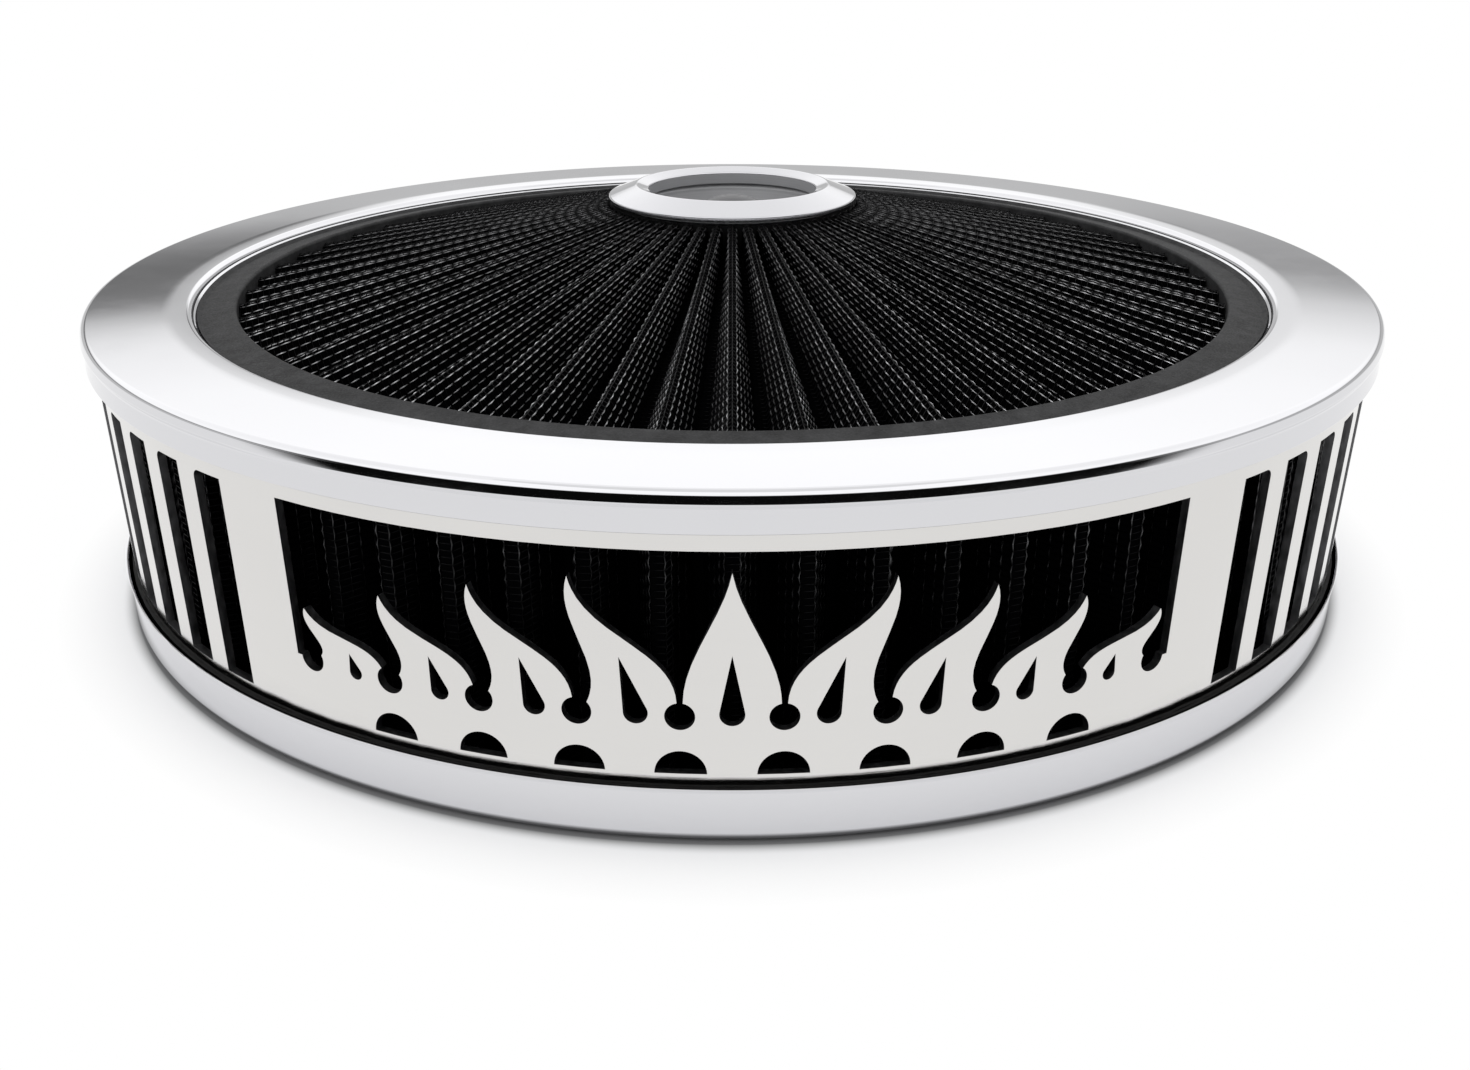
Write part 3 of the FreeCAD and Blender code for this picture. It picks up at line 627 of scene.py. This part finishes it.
def lidFlankWires(side, name):
    look = lidScreen
    steps = lidSteps()
    bm = startWires()
    for row, (run, glintLevel) in enumerate(zip(look["rows"], look["rowGlint"])):
        path = []
        paintedGlint = []
        for i in range(steps + 1):
            point, normal = lidPleatPoint(i / steps, side * run)
            up = (i + row) % 2
            path.append(point + normal * (look["weave"] * (1 if up else -1) - look["sink"]))
            # painted glint on the raised half of the weave, weaker towards the hub
            paintedGlint.append(glintLevel * up * (look["hubGlint"] + (1 - look["hubGlint"]) * i / steps))
        addWire(bm, path, look["wireRadius"], paintedGlint)
    return finishWires(bm, look["pleats"], name, "lid")


def lidHoops():
    look = lidScreen
    steps = lidSteps()
    bm = startWires()
    crestLine = []
    for i in range(steps + 1):
        share = i / steps
        half = []
        for run in look["hoopRuns"]:
            point, normal = lidPleatPoint(share, run)
            half.append(point - normal * look["sink"])
        valley = Vector((half[0].x, half[0].x * math.tan(math.pi / look["pleats"]), half[0].z))
        crestHeight = look["hubCrest"] + share * (look["rimCrest"] - look["hubCrest"])
        crest = Vector((half[0].x, 0, crestHeight - look["sink"]))
        crestLine.append(crest + Vector((0, 0, look["weave"] * (1 if i % 2 else -1))))
        right = [valley, half[0], half[1]]
        left = [Vector((p.x, -p.y, p.z)) for p in reversed(right)]
        # painted glint only where the hoop crosses the crest, none in the valleys
        glintLevel = look["hoopGlint"]
        addWire(bm, right + [crest] + left, look["hoopRadius"], (0, 0, glintLevel, glintLevel, glintLevel, 0, 0))
    addWire(bm, crestLine, look["hoopRadius"], [look["crestGlint"]] * len(crestLine))
    return finishWires(bm, look["pleats"], "lidScreenHoops", "lid")


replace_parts(lidFlankWires(1, "lidScreenRight"), "lid_screen")
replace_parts(lidFlankWires(-1, "lidScreenLeft"), "lid_screen")
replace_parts(lidHoops(), "lid_screen")
print("lid screen woven")


# wire screen round the side element

sideScreen = {
    "pleats": 72,
    "bottom": 9.7, "top": 69.5,
    "crestRadius": 168.5, "crestWidth": 2.6,
    "rootRadius": 155.6, "rootWidth": 2.0,
    "stand": 0.3, "weave": 0.15, "meshPitch": 1.55,
    # painted glint per row, less towards the root as painted shade; below the top the glint is
    # dimmed by height as painted shade
    "rows": (0.0, 0.2, 0.42, 0.66), "rowGlint": (0.30, 0.28, 0.24, 0.18),
    "hoopGlint": 0.008, "hoopEnd": 0.85,
    "litFrom": 30, "litFull": 66, "shadedLevel": 0.25,
    "wireRadius": 0.17, "hoopRadius": 0.13,
}


def sidePleatPoint(share, side):
    # a point of one upright pleat in plan: share 0 at the crest's edge and 1 at the root
    look = sideScreen
    crestAngle = look["crestWidth"] / look["crestRadius"] / 2
    rootAngle = math.pi / look["pleats"] - look["rootWidth"] / look["rootRadius"] / 2
    crest = Vector((math.cos(crestAngle), math.sin(crestAngle), 0)) * look["crestRadius"]
    root = Vector((math.cos(rootAngle), math.sin(rootAngle), 0)) * look["rootRadius"]
    along = (root - crest).normalized()
    normal = Vector((-along.y, along.x, 0))
    if normal.x < 0:
        normal.negate()
    point = crest.lerp(root, share) + normal * look["stand"]
    return Vector((point.x, side * point.y, 0)), Vector((normal.x, side * normal.y, 0))


def sideWires():
    look = sideScreen
    tall = look["top"] - look["bottom"]
    steps = round(tall / look["meshPitch"])
    heights = [look["bottom"] + tall * i / steps for i in range(steps + 1)]
    # painted shade: the glint is dimmed lower down the screen, from full at the top to a low level
    # at the bottom
    heightLights = []
    for z in heights:
        climb = min(max((z - look["litFrom"]) / (look["litFull"] - look["litFrom"]), 0), 1)
        heightLights.append(look["shadedLevel"] + (1 - look["shadedLevel"]) * climb * climb)
    bm = startWires()
    for side in (-1, 1):
        for row, (share, glintLevel) in enumerate(zip(look["rows"], look["rowGlint"])):
            point, normal = sidePleatPoint(share, side)
            path = []
            paintedGlint = []
            for i, z in enumerate(heights):
                up = (i + row) % 2
                sway = normal * (look["weave"] * (1 if up else -1))
                path.append(point + sway + Vector((0, 0, z)))
                paintedGlint.append(glintLevel * heightLights[i] * up)
            addWire(bm, path, look["wireRadius"], paintedGlint)
    plan = [sidePleatPoint(share, -1)[0] for share in (look["hoopEnd"], 0)]
    plan += [sidePleatPoint(share, 1)[0] for share in (0, look["hoopEnd"])]
    # hoops get a faint painted glint where they cross the crest
    for z, heightLight in zip(heights, heightLights):
        path = [point + Vector((0, 0, z)) for point in plan]
        glintLevel = look["hoopGlint"] * heightLight
        addWire(bm, path, look["hoopRadius"], (0, glintLevel, glintLevel, 0))
    return finishWires(bm, look["pleats"], "sideScreenWires", "root")


sideWires()
print("side screen woven")


# studio: pale floor, a round backdrop that only metal sees, soft lamps, camera

studio = {
    "floorHalf": 4.0, "paper": (0.88, 0.88, 0.89),
    # the first ring fades eye rays from the real shadow into white; the second is a painted shadow
    # darkening the paper at the object's foot
    "shadowStart": 0.1755, "shadowEnd": 0.196, "shadowPower": 0.5,
    "paintedShadowStart": 0.1752, "paintedShadowEnd": 0.1792, "paintedShadowLevel": 0.25,
    "darkNear": 0.78, "darkFar": 0.98, "darkTurn": (-0.15, -0.55), "darkGlow": 0.004,
    "wallRadius": 2.5, "wallHeight": 6.0, "wallSteps": 96, "wallGlow": 2,
    "rightTurn": (-0.3, 0.3), "sideTurn": (0.5, 0.85), "frontTurn": (-0.2, -1.3),
    "skyColor": (0.98, 0.99, 1.0), "skyForDiffuse": 0.85,
    "lampPower": 9, "lampSize": 1.4, "lampPlace": (0.15, 0.35, 1.5),
    "fillPower": 5, "fillSize": 1.2, "fillPlace": (-0.9, -1.1, 1.1),
    "lampAim": (0, 0, 0.05),
}

# brightness of the round backdrop by height in metres: left, right and behind the camera
wallLeft = (
    (0, 0.65), (0.47, 0.65), (0.50, 0.585), (0.54, 0.57), (0.568, 0.33), (0.60, 0.20), (0.64, 0.19),
    (0.68, 0.28), (0.715, 0.85), (0.757, 1.10), (0.86, 1.27), (1.05, 1.36), (3.0, 1.22),
)
wallRight = (
    (0, 0.585), (0.50, 0.585), (0.531, 0.55), (0.567, 0.44), (0.613, 0.39), (0.64, 0.45),
    (0.679, 0.854), (0.757, 1.18), (0.86, 1.27), (1.05, 1.36), (3.0, 1.22),
)
wallMiddle = (
    (0, 0.62), (0.50, 0.60), (0.54, 0.64), (0.60, 1.15), (0.75, 1.30), (1.05, 1.36), (3.0, 1.22),
)
wallFront = ((0, 0.004), (0.55, 0.004), (0.75, 0.04), (0.9, 0.8), (1.05, 1.36))


def seenByEye(tree):
    # 1 for camera, mirror and glass rays
    path = tree.nodes.new("ShaderNodeLightPath")
    both = addMath(tree, "MAXIMUM", path.outputs["Is Camera Ray"], path.outputs["Is Glossy Ray"])
    return addMath(tree, "MAXIMUM", both, path.outputs["Is Transmission Ray"])


def floorMaterial():
    look = studio
    material = bpy.data.materials.new("paleFloor")
    material.use_nodes = True
    tree = material.node_tree
    tree.nodes.clear()
    output = tree.nodes.new("ShaderNodeOutputMaterial")
    paper = tree.nodes.new("ShaderNodeBsdfDiffuse")
    white = tree.nodes.new("ShaderNodeEmission")
    mix = tree.nodes.new("ShaderNodeMixShader")
    coords = tree.nodes.new("ShaderNodeTexCoord")
    length = tree.nodes.new("ShaderNodeVectorMath")
    length.operation = "LENGTH"
    tree.links.new(coords.outputs["Object"], length.inputs[0])
    radius = length.outputs["Value"]
    # painted shadow: the paper's colour is darkened in a narrow ring right at the object's foot
    foot = mapRange(tree, radius, look["paintedShadowStart"], look["paintedShadowEnd"], look["paintedShadowLevel"], 1, True)
    tree.links.new(mixColors(tree, foot, (0, 0, 0), look["paper"]), paper.inputs["Color"])
    # camera and mirror rays see the real shadow only near the foot; further out it is faded by
    # radius into white, painted light over the rest of the shadow
    clear = mapRange(tree, radius, look["shadowStart"], look["shadowEnd"], 0.0, 1.0)
    soft = addMath(tree, "POWER", clear, look["shadowPower"])
    tree.links.new(addMath(tree, "MULTIPLY", soft, seenByEye(tree)), mix.inputs[0])
    tree.links.new(paper.outputs[0], mix.inputs[1])
    tree.links.new(white.outputs[0], mix.inputs[2])

    # metal sees the floor go dark towards the photographer
    parts = tree.nodes.new("ShaderNodeSeparateXYZ")
    tree.links.new(coords.outputs["Object"], parts.inputs[0])
    away = mapRange(tree, radius, look["darkNear"], look["darkFar"], 0, 1, True)
    front = mapRange(tree, parts.outputs["Y"], *look["darkTurn"], 0, 1, True)
    path = tree.nodes.new("ShaderNodeLightPath")
    gone = addMath(tree, "MULTIPLY", away, front)
    dark = addMath(tree, "MULTIPLY", gone, path.outputs["Is Glossy Ray"])
    night = tree.nodes.new("ShaderNodeEmission")
    night.inputs["Strength"].default_value = look["darkGlow"]
    shade = tree.nodes.new("ShaderNodeMixShader")
    tree.links.new(dark, shade.inputs[0])
    tree.links.new(mix.outputs[0], shade.inputs[1])
    tree.links.new(night.outputs[0], shade.inputs[2])
    tree.links.new(shade.outputs[0], output.inputs["Surface"])
    return material


def addRamp(tree, value, stops):
    ramp = tree.nodes.new("ShaderNodeValToRGB")
    elements = ramp.color_ramp.elements
    while len(elements) < len(stops):
        elements.new(0.5)
    for element, (place, level) in zip(elements, stops):
        tone = level / studio["wallGlow"]
        element.position = place / studio["wallHeight"]
        element.color = (tone, tone, tone, 1)
    tree.links.new(value, ramp.inputs[0])
    return ramp.outputs["Color"]


def wallMaterial():
    material = bpy.data.materials.new("roundBackdrop")
    material.use_nodes = True
    tree = material.node_tree
    tree.nodes.clear()
    output = tree.nodes.new("ShaderNodeOutputMaterial")
    glow = tree.nodes.new("ShaderNodeEmission")
    glow.inputs["Strength"].default_value = studio["wallGlow"]
    coords = tree.nodes.new("ShaderNodeTexCoord")
    parts = tree.nodes.new("ShaderNodeSeparateXYZ")
    tree.links.new(coords.outputs["Object"], parts.inputs[0])
    height = mapRange(tree, parts.outputs["Z"], 0, studio["wallHeight"], 0, 1)
    aside = addMath(tree, "ABSOLUTE", parts.outputs["X"])
    toRight = mapRange(tree, parts.outputs["X"], *studio["rightTurn"], 0, 1, True)
    toSide = mapRange(tree, aside, *studio["sideTurn"], 0, 1, True)
    toFront = mapRange(tree, parts.outputs["Y"], *studio["frontTurn"], 0, 1, True)
    left, right, middle, front = [
        addRamp(tree, height, stops) for stops in (wallLeft, wallRight, wallMiddle, wallFront)
    ]
    sides = mixColors(tree, toRight, left, right)
    back = mixColors(tree, toSide, middle, sides)
    every = mixColors(tree, toFront, back, front)
    tree.links.new(every, glow.inputs["Color"])
    tree.links.new(glow.outputs[0], output.inputs["Surface"])
    return material


def makeStudio():
    bm = bmesh.new()
    bmesh.ops.create_grid(bm, x_segments=1, y_segments=1, size=studio["floorHalf"])
    mesh = bpy.data.meshes.new("floor")
    bm.to_mesh(mesh)
    bm.free()
    mesh.materials.append(floorMaterial())
    floor = bpy.data.objects.new("floor", mesh)

    bm = bmesh.new()
    foot, head = [
        bmesh.ops.create_vert(bm, co=(studio["wallRadius"], 0, height))["vert"][0]
        for height in (0, studio["wallHeight"])
    ]
    edge = bm.edges.new((foot, head))
    bmesh.ops.spin(
        bm, geom=[foot, head, edge], cent=(0, 0, 0), axis=(0, 0, 1),
        angle=2 * math.pi, steps=studio["wallSteps"], use_merge=True,
    )
    mesh = bpy.data.meshes.new("backdrop")
    bm.to_mesh(mesh)
    bm.free()
    mesh.materials.append(wallMaterial())
    wall = bpy.data.objects.new("backdrop", mesh)
    for piece in (floor, wall):
        bpy.context.scene.collection.objects.link(piece)
    wall.visible_camera = False
    wall.visible_diffuse = False
    wall.visible_shadow = False
    wall.visible_transmission = False


def makeWorld():
    world = bpy.data.worlds.new("softStudio")
    bpy.context.scene.world = world
    world.use_nodes = True
    tree = world.node_tree
    tree.nodes.clear()
    output = tree.nodes.new("ShaderNodeOutputWorld")
    seen = tree.nodes.new("ShaderNodeBackground")
    sky = tree.nodes.new("ShaderNodeBackground")
    sky.inputs["Color"].default_value = (*studio["skyColor"], 1)
    sky.inputs["Strength"].default_value = studio["skyForDiffuse"]
    seen.inputs["Color"].default_value = (1, 1, 1, 1)
    seen.inputs["Strength"].default_value = 1
    mix = tree.nodes.new("ShaderNodeMixShader")
    tree.links.new(seenByEye(tree), mix.inputs[0])
    tree.links.new(sky.outputs[0], mix.inputs[1])
    tree.links.new(seen.outputs[0], mix.inputs[2])
    tree.links.new(mix.outputs[0], output.inputs["Surface"])


def addLamp(name, power, size, place):
    lamp = bpy.data.lights.new(name, "AREA")
    lamp.shape = "SQUARE"
    lamp.size = size
    lamp.energy = power
    holder = bpy.data.objects.new(name, lamp)
    holder.location = place
    aim = Vector(studio["lampAim"]) - Vector(place)
    holder.rotation_euler = aim.to_track_quat("-Z", "Y").to_euler()
    holder.visible_glossy = False
    bpy.context.scene.collection.objects.link(holder)


cameraView = {
    "place": (0, -0.4323, 0.1808), "pitch": 23.43,
    "sensor": 36, "lens": 36.57, "shiftX": 0.00184, "clipStart": 0.01,
}


def makeCamera():
    camera = bpy.data.cameras.new("photoCamera")
    camera.sensor_width = cameraView["sensor"]
    camera.sensor_fit = "HORIZONTAL"
    camera.lens = cameraView["lens"]
    camera.shift_x = cameraView["shiftX"]
    camera.clip_start = cameraView["clipStart"]
    holder = bpy.data.objects.new("photoCamera", camera)
    holder.location = cameraView["place"]
    holder.rotation_euler = (math.radians(90 - cameraView["pitch"]), 0, 0)
    bpy.context.scene.collection.objects.link(holder)
    bpy.context.scene.camera = holder


makeStudio()
makeWorld()
addLamp("overheadSoftbox", studio["lampPower"], studio["lampSize"], studio["lampPlace"])
addLamp("frontFill", studio["fillPower"], studio["fillSize"], studio["fillPlace"])
makeCamera()
bpy.context.scene.view_settings.view_transform = "Standard"
print("studio ready")
